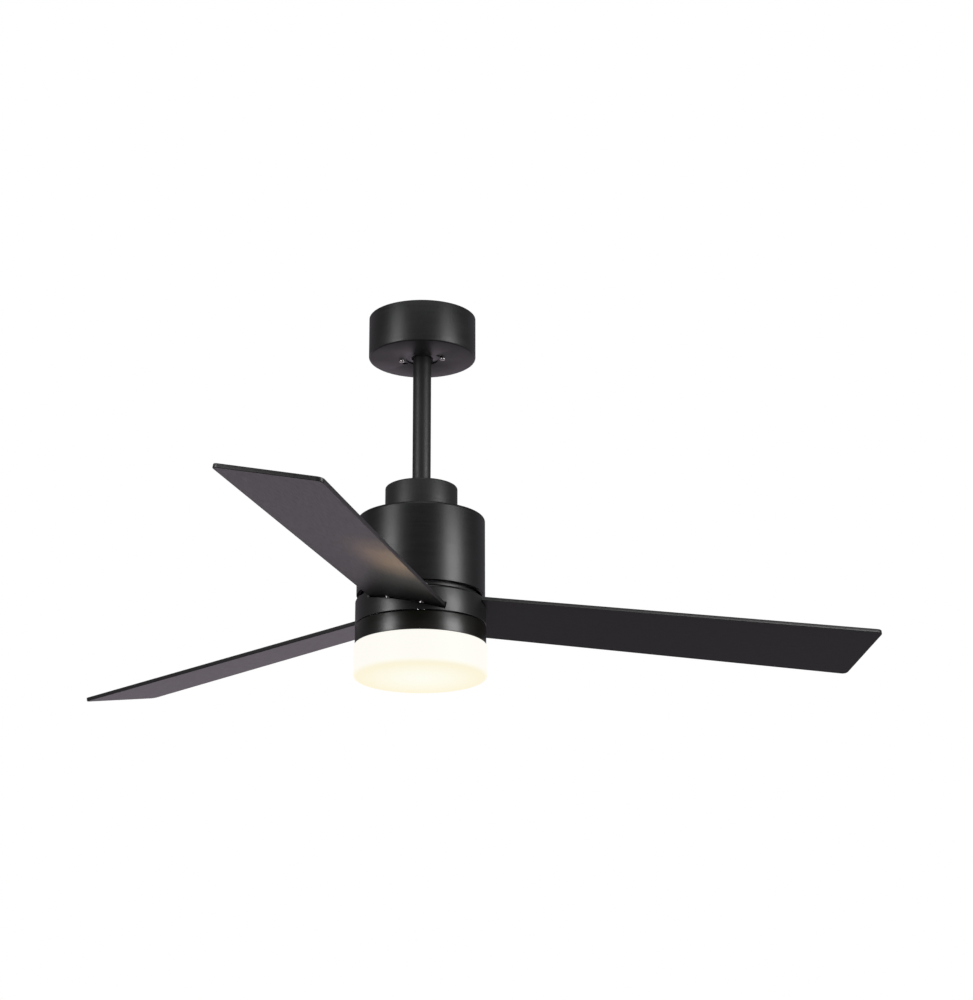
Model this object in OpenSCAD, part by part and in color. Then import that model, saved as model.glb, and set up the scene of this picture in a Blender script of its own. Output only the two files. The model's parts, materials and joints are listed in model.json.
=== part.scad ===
// Three-blade ceiling fan with an opal light below the motor, hung from a ball on a downrod.
// Frame: the origin is on the ceiling plane at the middle of the ceiling bracket.
// +Z is up, and +X runs along the line of the bracket's two ceiling screws. Millimetres.

/* [Blades] */
// Diameter that the blade tips sweep
blade_span = 1320; // [1060:20:1520]
// Blade width at the hub
blade_root_w = 110; // [90:2:112]
// Blade width at the tip
blade_tip_w = 136; // [112:2:160]
// Blade thickness
blade_t = 5.5; // [4:0.5:6]
// Pitch of each blade, leading edge up
blade_pitch = 12; // [8:1:12]
// Droop of each blade below level
blade_droop = 1; // [0:0.25:1]
// Turn of the first blade from +X at rest
blade_rest = 25; // [0:5:115]

/* [Hanging] */
// Canopy diameter
canopy_d = 150; // [150:1:180]
// Canopy height
canopy_h = 60; // [60:1:60]
// Downrod diameter
rod_d = 25.4; // [25:0.2:25.4]
// Stretch of downrod that shows between canopy and coupling cover
rod_show = 191; // [170:1:900]
// Hanger ball diameter
ball_d = 50; // [50:0.5:50]
// Coupling cover diameter
cover_d = 100; // [98:1:120]
// Coupling cover height
cover_h = 45.2; // [45:0.1:46]

/* [Motor and hub] */
// Motor housing diameter
housing_d = 176; // [176:1:190]
// Motor housing height
housing_h = 110; // [110:1:110]
// Open gap between the motor housing and the turning hub ring
hub_gap = 8; // [8:0.5:9]
// Hub ring diameter
ring_d = 178.7; // [178:0.1:180]
// Hub ring height
ring_h = 34; // [34:1:36]

/* [Light] */
// Light pan height
pan_h = 26.6; // [26.6:0.2:28]
// Shade diameter
shade_d = 181.6; // [180:0.2:184]
// Height of the shade below the light pan
shade_h = 45; // [38:0.5:60]
// Number of light emitters in the outer circle
led_count = 24; // [12:2:30]

/* [Hidden] */
$fn = 96;
eps = 0.01;
in_fit = 0.02;

// Heights, from the ceiling down.
canopy_top = -1;
canopy_bot = canopy_top - canopy_h;
canopy_wall = 1.2;
cover_top = canopy_bot - rod_show;
housing_top = cover_top - cover_h - 0.3;
housing_bot = housing_top - housing_h;
ring_top = housing_bot - hub_gap;
ring_bot = ring_top - ring_h;
pan_top = ring_bot - 0.6;
pan_bot = pan_top - pan_h;
shade_bot = pan_bot - 0.3 - shade_h;
blade_z = ring_top - 13.3;
mid_turn = 60;

// Hanger ball, its seat and the bracket.
ball_r = ball_d / 2;
ball_z = -36;
ball_low = 15;
ball_high = 18;
plate_t = 2.5;
seat_plate_bot = canopy_bot + canopy_wall;
seat_plate_top = seat_plate_bot + plate_t;
seat_r = 26.5;
seat_top = ball_z - 10;
liner_t = 1.5;
liner_low = ball_z - 16;
liner_high = ball_z - 4;
run_fit = 0.05;
seat_hole_r = 15.25;
slot_half = 13.6;
screw_x = 29;
ceiling_screw_x = 44.45;

// Downrod and coupler.
rod_r = rod_d / 2;
rod_bore_r = rod_r - 2;
rod_top = ball_z + ball_high;
rod_bot = cover_top - 20;
coupler_top = rod_bot + 14.5;
coupler_neck_r = 20;
coupler_flange_t = 4.5;
clevis_z = rod_bot + 7;
ball_pin_z = ball_z + 5;
pin_r = 3;

// Motor.
shaft_r = 8.5;
shaft_bore_r = 4.5;
shaft_top = housing_top + 13.5;
shaft_bot = pan_top - 8;
wall = 1.5;
housing_r = housing_d / 2;
top_bearing_z = housing_top - 20.5;
low_bearing_z = housing_bot + 7.5;
bell_split_z = housing_bot + 42.5;
bell_top_z = housing_top - 25;
bell_bot_z = housing_bot - 0.5;
bell_r = 76;
bell_in_r = 71;
bell_plate_t = 3.5;
core_h = 30;
core_z = bell_split_z - core_h / 2;
core_r = 65.8;
teeth = 12;
magnets = 14;

// Bearings, size 6203.
race_r = 20;
race_w = 12;
ball_pitch_r = 14.25;
small_ball_r = 3.375;
bearing_balls = 8;

// Hub.
carrier_r = 80;
carrier_t = 4;
carrier_bot = bell_bot_z - carrier_t;
ring_r = ring_d / 2;
ring_wall = 1.85;
root_in = 48;
arm_in = 52;
arm_out_r = 85.5;
arm_half = 30;
tip_x = sqrt(pow(blade_span / 2, 2) - pow(blade_tip_w / 2, 2)) / cos(blade_droop);
tip_round = 8;
blade_screw_at = [[58, 0], [78, -24], [78, 24]];

// Light.
pan_r = ring_r;
pan_plate_t = 2;
tab_low = pan_bot + 1.2;
tab_t = 1.5;
tab_in_r = 83;
neck_r = 82.5;
lug_low = tab_low + tab_t + 0.3;
lug_t = 2;
tray_top = pan_top - 15.4;
tray_t = 1.5;
board_t = 1.6;
standoff_at = 75;
shade_r = shade_d / 2;
shade_wall = 2.5;

// ---------- helpers ----------

function arc(x, y, r, from, to, n = 8) =
    [for (i = [0:n]) let (a = from + (to - from) * i / n) [x + r * cos(a), y + r * sin(a)]];

// Upright tube between two heights.
module tube(r_out, r_in, low, high) {
    translate([0, 0, low]) difference() {
        cylinder(r = r_out, h = high - low);
        translate([0, 0, -1]) cylinder(r = r_in, h = high - low + 2);
    }
}

// Upright rod between two heights.
module post(r, low, high) {
    translate([0, 0, low]) cylinder(r = r, h = high - low);
}

// Hollow cup of sheet metal, closed at the top, with a rounded upper edge.
module cup(r, t, low, high, edge, hole_r) {
    rotate_extrude() polygon(concat(
        [[hole_r, high]],
        arc(r - edge, high - edge, edge, 90, 0),
        [[r, low], [r - t, low]],
        arc(r - edge, high - edge, edge - t, 0, 90),
        [[hole_r, high - t]]
    ));
}

// Part of a ring that spans an angle, centred on +X.
module sector(r_out, r_in, low, high, span) {
    translate([0, 0, low]) rotate([0, 0, -span / 2])
        rotate_extrude(angle = span) translate([r_in, 0]) square([r_out - r_in, high - low]);
}

// Pan-head screw, head down at the origin and shank up.
module pan_screw(head_r, head_h, shank_r, shank_l) {
    rotate_extrude() polygon(concat(
        [[0, -head_h]],
        arc(head_r - head_h * 0.7, -head_h * 0.3, head_h * 0.7, -90, 0, 6),
        [[head_r, 0], [shank_r, 0], [shank_r, shank_l - shank_r / 2], [shank_r / 2, shank_l], [0, shank_l]]
    ));
}

// Round wire along points that lie in the plane whose normal is n.
module wire(points, r, n, sides = 8) {
    last = len(points) - 1;
    function unit(v) = v / norm(v);
    function heading(i) = unit(points[min(i + 1, last)] - points[max(i - 1, 0)]);
    rings = [for (i = [0:last]) for (k = [0:sides - 1])
        points[i] + r * (cos(360 * k / sides) * n + sin(360 * k / sides) * cross(heading(i), n))];
    sides_faces = [for (i = [0:last - 1]) for (k = [0:sides - 1]) let (j = (k + 1) % sides)
        [i * sides + k, i * sides + j, (i + 1) * sides + j, (i + 1) * sides + k]];
    ends = [[for (k = [sides - 1:-1:0]) k], [for (k = [0:sides - 1]) last * sides + k]];
    polyhedron(points = rings, faces = concat(sides_faces, ends), convexity = 6);
}

module on_blades() { for (i = [0:2]) rotate([0, 0, blade_rest + 120 * i]) children(); }
module between_blades() { for (i = [0:2]) rotate([0, 0, blade_rest + mid_turn + 120 * i]) children(); }

// Places children drawn flat, along +X, on the pitched and drooping plane of one blade.
module on_blade_plane() {
    translate([0, 0, blade_z]) rotate([0, blade_droop, 0]) rotate([-blade_pitch, 0, 0]) children();
}

// ---------- ceiling bracket and canopy, which stay still ----------

module ceiling_bracket() {
    leg_x = 36;
    half_y = 17;
    color("dimgray") difference() {
        union() {
            translate([-62, -half_y, -plate_t]) cube([124, 2 * half_y, plate_t]);
            for (s = [0, 180]) rotate([0, 0, s])
                translate([leg_x, -half_y, seat_plate_bot])
                    cube([plate_t, 2 * half_y, -seat_plate_bot - eps]);
            translate([-leg_x - plate_t, -24, seat_plate_bot])
                cube([2 * (leg_x + plate_t), 48, plate_t]);
            translate([-2, -23.5, seat_plate_top - eps])
                cube([4, 3, ball_z - 8 - seat_plate_top]);
        }
        translate([0, 0, -plate_t - 1]) cylinder(r = 14, h = plate_t + 2);
        for (s = [-1, 1]) translate([s * ceiling_screw_x, 0, -plate_t - 1]) {
            for (e = [-4, 4]) translate([e, 0, 0]) cylinder(r = 2.6, h = plate_t + 2);
            translate([-4, -2.6, 0]) cube([8, 5.2, plate_t + 2]);
        }
        translate([0, 0, seat_plate_bot - 1]) {
            cylinder(r = seat_hole_r, h = plate_t + 2);
            translate([-slot_half, 0, 0]) cube([2 * slot_half, 30, plate_t + 2]);
            for (s = [-1, 1]) translate([s * screw_x, 0, 0]) cylinder(r = 2.05, h = plate_t + 2);
        }
        translate([-25, 10, -plate_t - 1]) cylinder(r = 2.05, h = plate_t + 2);
    }
}

module ball_seat() {
    color("ivory") difference() {
        post(seat_r, seat_plate_top, seat_top);
        translate([0, 0, ball_z]) sphere(r = ball_r + liner_t + 2 * run_fit);
        post(19.5, seat_plate_top - 1, seat_top + 1);
        translate([-slot_half, 0, seat_plate_top - 1]) cube([2 * slot_half, 30, 20]);
        translate([-2.6, -24.1, seat_plate_top - 1]) cube([5.2, 14, 20]);
    }
}

// Split spherical liner between the ball and its seat, notched round the bracket's tab.
module seat_liner() {
    color("gainsboro") difference() {
        intersection() {
            translate([0, 0, ball_z]) sphere(r = ball_r + liner_t + run_fit);
            post(ball_r + 5, liner_low, liner_high);
        }
        translate([0, 0, ball_z]) sphere(r = ball_r + run_fit);
        translate([-slot_half, 0, liner_low - 1]) cube([2 * slot_half, 30, 20]);
        translate([-2.9, -30, liner_low - 1]) cube([5.8, 20, ball_z - 6 - liner_low + 1]);
    }
}

module canopy() {
    r = canopy_d / 2;
    low_edge = 2.6;
    color("#2b2b2b") difference() {
        rotate_extrude() polygon(concat(
            [[23, canopy_bot]],
            arc(r - low_edge, canopy_bot + low_edge, low_edge, -90, 0),
            arc(r - 0.6, canopy_top - 0.6, 0.6, 0, 90, 4),
            [[r - canopy_wall, canopy_top]],
            arc(r - low_edge, canopy_bot + low_edge, low_edge - canopy_wall, 0, -90),
            [[23, canopy_bot + canopy_wall]]
        ));
        for (s = [0, 180]) rotate([0, 0, s]) {
            translate([screw_x, 0, canopy_bot - 1]) cylinder(r = 2.4, h = 4);
            rotate([0, 0, -11]) sector(screw_x + 2.15, screw_x - 2.15, canopy_bot - 1, canopy_bot + 3, 22);
            rotate([0, 0, -22]) translate([screw_x, 0, canopy_bot - 1]) cylinder(r = 4.4, h = 4);
        }
    }
}

module canopy_screws() {
    color("silver") for (s = [-1, 1]) translate([s * screw_x, 0, canopy_bot])
        pan_screw(3.8, 2.6, 2, 9);
}

module receiver_case() {
    color("white") translate([-38, -60, seat_plate_bot]) difference() {
        cube([76, 22, 29]);
        translate([2, 2, 2]) cube([72, 18, 28]);
    }
}

module receiver_lid() {
    color("whitesmoke") translate([-38, -60, seat_plate_bot + 29]) difference() {
        cube([76, 22, 1.8]);
        for (k = [-1, 0, 1]) translate([43, 11 + 4 * k, -1]) cylinder(r = 1.3, h = 4);
    }
}

module terminal_block() {
    top = seat_plate_bot + 30.8;
    color("ivory") difference() {
        translate([-33, -56, top]) cube([30, 14, 13]);
        for (k = [0:2]) translate([-28 + 10 * k, -49, top + 7]) cylinder(r = 2, h = 8);
    }
}

module receiver_leads() {
    bend = 8;
    color("red") for (k = [-1, 0, 1])
        translate([-3, -49 + 4 * k, seat_plate_bot + 29.5]) rotate([90, 0, 0])
            rotate_extrude(angle = 90) translate([bend, 0]) circle(r = 1.1, $fn = 24);
}

module ground_screw() {
    color("green") translate([-25, 10, -plate_t]) pan_screw(3.8, 2.4, 1.95, plate_t - 0.3);
}

// ---------- what hangs from the ball ----------

module hanger_ball() {
    color("#202020") difference() {
        intersection() {
            translate([0, 0, ball_z]) sphere(r = ball_r);
            post(ball_r + 1, ball_z - ball_low, ball_z + ball_high);
        }
        post(rod_r + 0.05, ball_z - 30, ball_z + 30);
        translate([-3, -30, ball_z - 30]) cube([6, 12, 60]);
        translate([-21, 0, ball_pin_z]) rotate([0, 90, 0]) cylinder(r = pin_r + 0.05, h = 42);
        translate([0, 10, ball_z - 4]) rotate([-90, 0, 0]) cylinder(r = 2.55, h = 20);
    }
}

module ball_pin() {
    color("silver") translate([-20, 0, ball_pin_z]) rotate([0, 90, 0]) cylinder(r = pin_r, h = 40);
}

module ball_set_screw() {
    color("silver") translate([0, rod_r, ball_z - 4]) rotate([-90, 0, 0]) difference() {
        cylinder(r = 2.5, h = 10);
        translate([0, 0, 7]) cylinder(r = 1.4, h = 4, $fn = 6);
    }
}

module downrod() {
    color("#262626") difference() {
        tube(rod_r, rod_bore_r, rod_bot, rod_top);
        for (z = [ball_pin_z, clevis_z]) translate([-20, 0, z])
            rotate([0, 90, 0]) cylinder(r = pin_r + 0.1, h = 40);
    }
}

// Sleeved leads from the plug in the canopy, down the middle of the downrod.
lead_bend = 16;
lead_y = 6.3;
lead_route = concat(
    [[0, 36, rod_top + 8.5], [0, 28, rod_top + 8.5]],
    [for (a = [90:15:180]) [0, lead_y + lead_bend + lead_bend * cos(a), rod_top - 7.5 + lead_bend * sin(a)]],
    [[0, lead_y, rod_top - 40], [0, lead_y, clevis_z - 4], [0, 4, clevis_z - 9], [0, 1, clevis_z - 14],
     [0, 0, shaft_top + 2], [0, 0, shaft_top + 1]]
);

module lead_sleeve() { color("dimgray") wire(lead_route, 3, [1, 0, 0], 12); }

module lead_plug() {
    color("white") translate([-8, 36, rod_top + 4]) {
        cube([16, 18, 9]);
        translate([6, 4, 9]) cube([4, 10, 2]);
    }
}

module coupler() {
    color("gray") difference() {
        union() {
            post(coupler_neck_r, housing_top, coupler_top);
            post(32, housing_top, housing_top + coupler_flange_t);
        }
        post(rod_r + 0.05, rod_bot, coupler_top + 1);
        post(9, shaft_top - 1, rod_bot + 1);
        post(shaft_r + in_fit, housing_top - 1, shaft_top);
        translate([-30, 0, clevis_z]) rotate([0, 90, 0]) cylinder(r = pin_r + 0.1, h = 60);
        for (s = [0, 180]) rotate([0, 0, s]) translate([0, 10, clevis_z - 1])
            rotate([-90, 0, 0]) cylinder(r = 3.05, h = 20);
        for (a = [45:90:315]) rotate([0, 0, a]) translate([26, 0, housing_top - 1])
            cylinder(r = 2.6, h = 10);
    }
}

module clevis_pin() {
    color("silver") difference() {
        union() {
            translate([-23, 0, clevis_z]) rotate([0, 90, 0]) cylinder(r = pin_r, h = 50);
            translate([-23, 0, clevis_z]) rotate([0, 90, 0]) cylinder(r = 5, h = 2.2);
        }
        translate([23, 0, clevis_z - 5]) cylinder(r = 1, h = 10);
    }
}

// Spring clip: one straight leg through the pin and one leg bent back outside it.
module clevis_clip() {
    bend = 3;
    color("silver") translate([23, 0, clevis_z]) {
        translate([0, 0, -8]) cylinder(r = 0.9, h = 14, $fn = 24);
        translate([bend, 0, 6]) rotate([90, 0, 0]) rotate_extrude(angle = 180)
            translate([bend, 0]) circle(r = 0.9, $fn = 24);
        translate([2 * bend, 0, -5]) cylinder(r = 0.9, h = 11, $fn = 24);
    }
}

module coupler_set_screws() {
    color("silver") for (s = [0, 180]) rotate([0, 0, s])
        translate([0, rod_r, clevis_z - 1]) rotate([-90, 0, 0]) difference() {
            cylinder(r = 3, h = 12);
            translate([0, 0, 9]) cylinder(r = 1.7, h = 4, $fn = 6);
        }
}

module housing_screws() {
    color("silver") for (a = [45:90:315]) rotate([0, 0, a])
        translate([26, 0, housing_top + coupler_flange_t]) mirror([0, 0, 1])
            pan_screw(4.5, 3, 2.5, 11);
}

module motor_housing() {
    color("#2d2d2e") difference() {
        union() {
            cup(housing_r, wall, housing_bot, housing_top, 4, shaft_r + 0.3);
            tube(housing_r - 1, housing_r - 5, housing_bot, housing_bot + wall);
        }
        for (a = [45:90:315]) rotate([0, 0, a]) translate([26, 0, housing_top - 5])
            cylinder(r = 2.7, h = 10);
    }
}

module shaft_lock_nut() {
    color("silver") difference() {
        translate([0, 0, housing_top - wall - 6]) cylinder(r = 14, h = 6, $fn = 6);
        post(shaft_r + in_fit, housing_top - 20, housing_top);
    }
}

module motor_shaft() {
    color("lightgray") difference() {
        tube(shaft_r, shaft_bore_r, shaft_bot, shaft_top);
        translate([0, 0, core_z + core_h + 14]) rotate([0, 90, 0]) cylinder(r = 3, h = 12);
    }
}

module stator_core() {
    color("slategray") translate([0, 0, core_z]) linear_extrude(core_h) difference() {
        union() {
            circle(r = 38);
            for (k = [0:teeth - 1]) rotate(360 * k / teeth) translate([30, -4.5]) square([33, 9]);
            difference() {
                circle(r = core_r);
                circle(r = core_r - 3.5);
                for (k = [0:teeth - 1]) rotate(360 * (k + 0.5) / teeth) translate([55, -2]) square([15, 4]);
            }
        }
        circle(r = shaft_r + in_fit);
        for (k = [0:5]) rotate(60 * k) translate([23, 0]) circle(r = 6.5);
    }
}

module stator_coils() {
    reach = 6;
    color("peru") for (k = [0:teeth - 1]) rotate([0, 0, 360 * k / teeth])
        translate([42, -8, core_z - reach]) difference() {
            cube([18, 16, core_h + 2 * reach]);
            translate([-1, 3.3, reach - 0.3]) cube([20, 9.4, core_h + 0.6]);
        }
}

// Three leads that leave the hollow shaft by its side hole and reach the windings.
module stator_leads() {
    exit_z = core_z + core_h + 14;
    bend = 6;
    color("gold") for (k = [-1, 0, 1]) {
        start = [0.6, 1.7 * k, shaft_top + 0.5];
        wire(concat(
            [start, [0.6, 1.7 * k, exit_z + 7]],
            [for (a = [180:22.5:270]) [0.6 + bend + bend * cos(a), 1.7 * k, exit_z + bend + bend * sin(a)]],
            [[34, 1.7 * k, exit_z]],
            [for (a = [90:-22.5:0]) [36 + 5 * cos(a), 1.7 * k, exit_z - 5 + 5 * sin(a)]],
            [[41, 1.7 * k, core_z + core_h + 1]]
        ), 0.75, [0, 1, 0]);
    }
}

module race_inner(z) {
    translate([0, 0, z]) difference() {
        cylinder(r = ball_pitch_r - 2.05, h = race_w, center = true);
        cylinder(r = shaft_r + in_fit, h = race_w + 2, center = true);
        rotate_extrude() translate([ball_pitch_r, 0]) circle(r = small_ball_r + 0.08);
    }
}

module race_outer(z) {
    translate([0, 0, z]) difference() {
        cylinder(r = race_r, h = race_w, center = true);
        cylinder(r = ball_pitch_r + 2.05, h = race_w + 2, center = true);
        rotate_extrude() translate([ball_pitch_r, 0]) circle(r = small_ball_r + 0.08);
    }
}

module bearing_balls_at(z) {
    translate([0, 0, z]) for (k = [0:bearing_balls - 1]) rotate([0, 0, 360 * k / bearing_balls])
        translate([ball_pitch_r, 0, 0]) sphere(r = small_ball_r);
}

module bearing_cage(z) {
    translate([0, 0, z]) difference() {
        tube(ball_pitch_r + 0.65, ball_pitch_r - 0.65, -4.6, 4.6);
        for (k = [0:bearing_balls - 1]) rotate([0, 0, 360 * k / bearing_balls])
            translate([ball_pitch_r - 3, 0, 0]) rotate([0, 90, 0]) cylinder(r = small_ball_r + 0.06, h = 6);
    }
}

module top_bearing_inner() { color("silver") race_inner(top_bearing_z); }
module low_bearing_inner() { color("silver") race_inner(low_bearing_z); }
module top_bearing_outer() { color("silver") race_outer(top_bearing_z); }
module low_bearing_outer() { color("silver") race_outer(low_bearing_z); }
module top_bearing_cage() { color("goldenrod") bearing_cage(top_bearing_z); }
module low_bearing_cage() { color("goldenrod") bearing_cage(low_bearing_z); }
module top_bearing_balls() { color("white") bearing_balls_at(top_bearing_z); }
module low_bearing_balls() { color("white") bearing_balls_at(low_bearing_z); }

// ---------- what turns ----------

// One half of the rotor can, open at the split, with a seat for the bearing in its plate.
module bell(plate, split, bearing) {
    up = plate > split ? 1 : -1;
    inner = plate - up * bell_plate_t;
    seat_in = bearing - up * race_w / 2;
    seat_out = bearing + up * race_w / 2;
    boss_out = seat_out + up * 1.5;
    difference() {
        union() {
            difference() {
                union() {
                    post(bell_r, min(plate, split), max(plate, split));
                    for (a = [0:90:270]) rotate([0, 0, a])
                        translate([bell_r - 1, 0, min(split, split + up * 5)]) cylinder(r = 5, h = 5);
                }
                post(bell_in_r + in_fit, min(inner, split - up), max(inner, split - up));
            }
            post(24, min(seat_in, boss_out), max(seat_in, boss_out));
        }
        post(race_r + in_fit, min(seat_in - 8 * up, seat_out), max(seat_in - 8 * up, seat_out));
        post(16.5, boss_out - 3, boss_out + 3);
        for (a = [0:90:270]) rotate([0, 0, a]) translate([bell_r + 0.7, 0, 0]) {
            post(1.8, split - 10, split + 10);
            post(3.5, bell_split_z - 8, bell_split_z - 5);
        }
    }
}

module bell_upper() { color("darkgray") bell(bell_top_z, bell_split_z, top_bearing_z); }

module bell_lower() {
    color("darkgray") difference() {
        bell(bell_bot_z, bell_split_z, low_bearing_z);
        between_blades() translate([44, 0, bell_bot_z - 1]) cylinder(r = 2.05, h = 6);
    }
}

module bell_screws() {
    color("silver") for (a = [0:90:270]) rotate([0, 0, a])
        translate([bell_r + 0.7, 0, bell_split_z - 5]) pan_screw(3.2, 2, 1.75, 10);
}

module rotor_magnets() {
    color("darkslategray") for (k = [0:magnets - 1]) rotate([0, 0, 360 * k / magnets])
        sector(bell_in_r, core_r + 0.8, core_z - 3, core_z + core_h + 3, 360 / magnets - 2);
}

module blade_carrier() {
    color("#222222") difference() {
        tube(carrier_r, 14, carrier_bot, bell_bot_z);
        between_blades() {
            translate([44, 0, carrier_bot - 1]) cylinder(r = 2.3, h = carrier_t + 2);
            translate([74, 0, carrier_bot - 1]) cylinder(r = 1.8, h = carrier_t + 2);
        }
        on_blades() for (y = [-14, 14]) translate([66, y, carrier_bot - 1])
            cylinder(r = 2.3, h = carrier_t + 2);
    }
}

module carrier_screws() {
    color("silver") between_blades() translate([44, 0, carrier_bot]) pan_screw(4, 2.4, 2, 7);
}

// Decorative ring round the hub, slotted where the blades pass through it.
module hub_ring() {
    edge = 2.5;
    in_r = ring_r - ring_wall;
    color("#2c2c2c") difference() {
        union() {
            rotate_extrude() polygon(concat(
                [[in_r, ring_bot], [ring_r, ring_bot]],
                arc(ring_r - edge, ring_top - edge, edge, 0, 70),
                [[in_r, ring_top - 0.6]]
            ));
            between_blades() {
                translate([68, -7, ring_top]) cube([12, 14, carrier_bot - ring_top]);
                translate([68, -7, ring_top - 2]) cube([in_r - 68 - 0.2, 14, 2]);
                translate([83, -7, ring_top - 16]) cube([in_r - 83 + 0.2, 14, 16]);
            }
        }
        on_blades() on_blade_plane() translate([70, -blade_root_w / 2 - 2.5, -blade_t / 2 - 3])
            cube([30, blade_root_w + 5, blade_t + 4.2]);
        between_blades() translate([74, 0, ring_top - 5]) cylinder(r = 1.8, h = 12);
    }
}

module ring_screws() {
    color("silver") between_blades() translate([74, 0, ring_top - 2]) pan_screw(3.2, 2, 1.75, 8);
}

module blade_arms() {
    color("darkgray") on_blades() difference() {
        intersection() {
            translate([arm_in, -arm_half, blade_z - 20]) cube([40, 2 * arm_half, carrier_bot - blade_z + 20]);
            post(arm_out_r, blade_z - 30, carrier_bot);
        }
        on_blade_plane() {
            translate([0, -100, -60]) cube([120, 200, 60 + blade_t / 2]);
            for (p = blade_screw_at) translate([p[0], p[1], 0]) cylinder(r = 2.5, h = 11);
        }
    }
}

module blade_screws() {
    color("silver") on_blades() on_blade_plane() for (p = blade_screw_at)
        translate([p[0], p[1], -blade_t / 2]) pan_screw(4, 2.4, 2.45, blade_t + 6);
}

// Outline of one blade along +X: straight taper with a square, softly rounded tip.
module blade_outline() {
    grow = (blade_tip_w - blade_root_w) / 2 / (tip_x - ring_r);
    root_half = blade_root_w / 2 - grow * (ring_r - root_in);
    tip_half = blade_tip_w / 2;
    lean = atan(grow);
    r = tip_round;
    y = tip_half - grow * r - r;
    polygon(concat(
        [[root_in, -root_half]],
        arc(tip_x - r, -y, r, -90 + lean, 0),
        arc(tip_x - r, y, r, 0, 90 - lean),
        [[root_in, root_half]]
    ));
}

module blade(i) {
    color("#2e2c30") rotate([0, 0, blade_rest + 120 * i]) on_blade_plane() difference() {
        translate([0, 0, -blade_t / 2]) linear_extrude(blade_t) blade_outline();
        for (p = blade_screw_at) translate([p[0], p[1], -blade_t]) cylinder(r = 2.6, h = 2 * blade_t);
    }
}

module blade_1() { blade(0); }
module blade_2() { blade(1); }
module blade_3() { blade(2); }

// ---------- coupling cover, which lifts up the downrod ----------

module coupling_cover() {
    color("#2b2b2b") cup(cover_d / 2, wall, cover_top - cover_h, cover_top, 2.5, rod_r + 0.9);
}

module cover_felt() { color("black") tube(17, rod_r + 0.4, cover_top - wall - 1.5, cover_top - wall); }

// ---------- light ----------

module light_pan() {
    color("#272727") difference() {
        union() {
            cup(pan_r, ring_wall, pan_bot, pan_top, 2, shaft_r + 0.1);
            for (k = [0:2]) rotate([0, 0, 120 * k])
                sector(pan_r - ring_wall + 0.3, tab_in_r, tab_low, tab_low + tab_t, 18);
        }
        for (k = [0:2]) rotate([0, 0, 60 + 120 * k]) translate([standoff_at, 0, pan_top - 4])
            cylinder(r = 1.8, h = 6);
    }
}

module pan_nuts() {
    color("silver") difference() {
        union() {
            translate([0, 0, pan_top]) cylinder(r = 14, h = 5, $fn = 6);
            translate([0, 0, pan_top - ring_wall - 5]) cylinder(r = 14, h = 5, $fn = 6);
        }
        post(shaft_r + in_fit, pan_top - 20, pan_top + 20);
    }
}

// Two leads down the hollow shaft to the light's driver.
module light_leads() {
    bend = 3;
    turn_z = shaft_bot - 1.5;
    color("white") for (k = [-1, 1]) wire(concat(
        [[-2, 1.2 * k, shaft_top + 0.5], [-2, 1.2 * k, turn_z + 3]],
        [for (a = [180:22.5:270]) [-2 + bend + bend * cos(a), 1.2 * k, turn_z + bend * sin(a)]],
        [[19.8, 1.2 * k, turn_z - bend]]
    ), 0.9, [0, 1, 0]);
}

module led_driver() {
    color("white") translate([19.8, -13, tray_top]) cube([54, 26, 11.5]);
}

module tray_standoffs() {
    color("silver") for (k = [0:2]) rotate([0, 0, 60 + 120 * k])
        translate([standoff_at, 0, 0]) tube(3.5, 1.5, tray_top, pan_top - ring_wall);
}

module led_tray() {
    color("white") difference() {
        tube(80, 10, tray_top - tray_t, tray_top);
        for (k = [0:2]) rotate([0, 0, 60 + 120 * k]) translate([standoff_at, 0, tray_top - 5])
            cylinder(r = 1.7, h = 8);
    }
}

module tray_screws() {
    color("silver") for (k = [0:2]) rotate([0, 0, 60 + 120 * k])
        translate([standoff_at, 0, tray_top - tray_t]) pan_screw(2.8, 1.8, 1.45, 8);
}

module led_board() { color("whitesmoke") tube(70, 12, tray_top - tray_t - board_t, tray_top - tray_t); }

module led_emitters() {
    low = tray_top - tray_t - board_t - 0.8;
    inner_count = led_count / 2;
    color("khaki") {
        for (k = [0:led_count - 1]) rotate([0, 0, 360 * k / led_count])
            translate([60, -1.4, low]) cube([3.5, 2.8, 0.8]);
        for (k = [0:inner_count - 1]) rotate([0, 0, 360 * k / inner_count])
            translate([34, -1.4, low]) cube([3.5, 2.8, 0.8]);
    }
}

module shade() {
    high = pan_bot - 0.3;
    low_edge = 4;
    top_edge = 2.5;
    color("lemonchiffon") {
        rotate_extrude() polygon(concat(
            [[0, shade_bot]],
            arc(shade_r - low_edge, shade_bot + low_edge, low_edge, -90, 0),
            arc(shade_r - top_edge, high - top_edge, top_edge, 0, 90, 5),
            [[neck_r, high], [neck_r, lug_low + lug_t], [neck_r - 2, lug_low + lug_t],
             [neck_r - 2, high - shade_wall]],
            arc(shade_r - top_edge - 1.5, high - shade_wall - 1.5, 1.5, 90, 0, 4),
            [[shade_r - shade_wall, high - shade_wall - 3]],
            arc(shade_r - low_edge, shade_bot + low_edge, low_edge - shade_wall, 0, -90),
            [[0, shade_bot + shade_wall]]
        ));
        for (k = [0:2]) rotate([0, 0, 120 * k])
            sector(neck_r + 4.3, neck_r - 0.5, lug_low, lug_low + lug_t, 16);
    }
}

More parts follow.
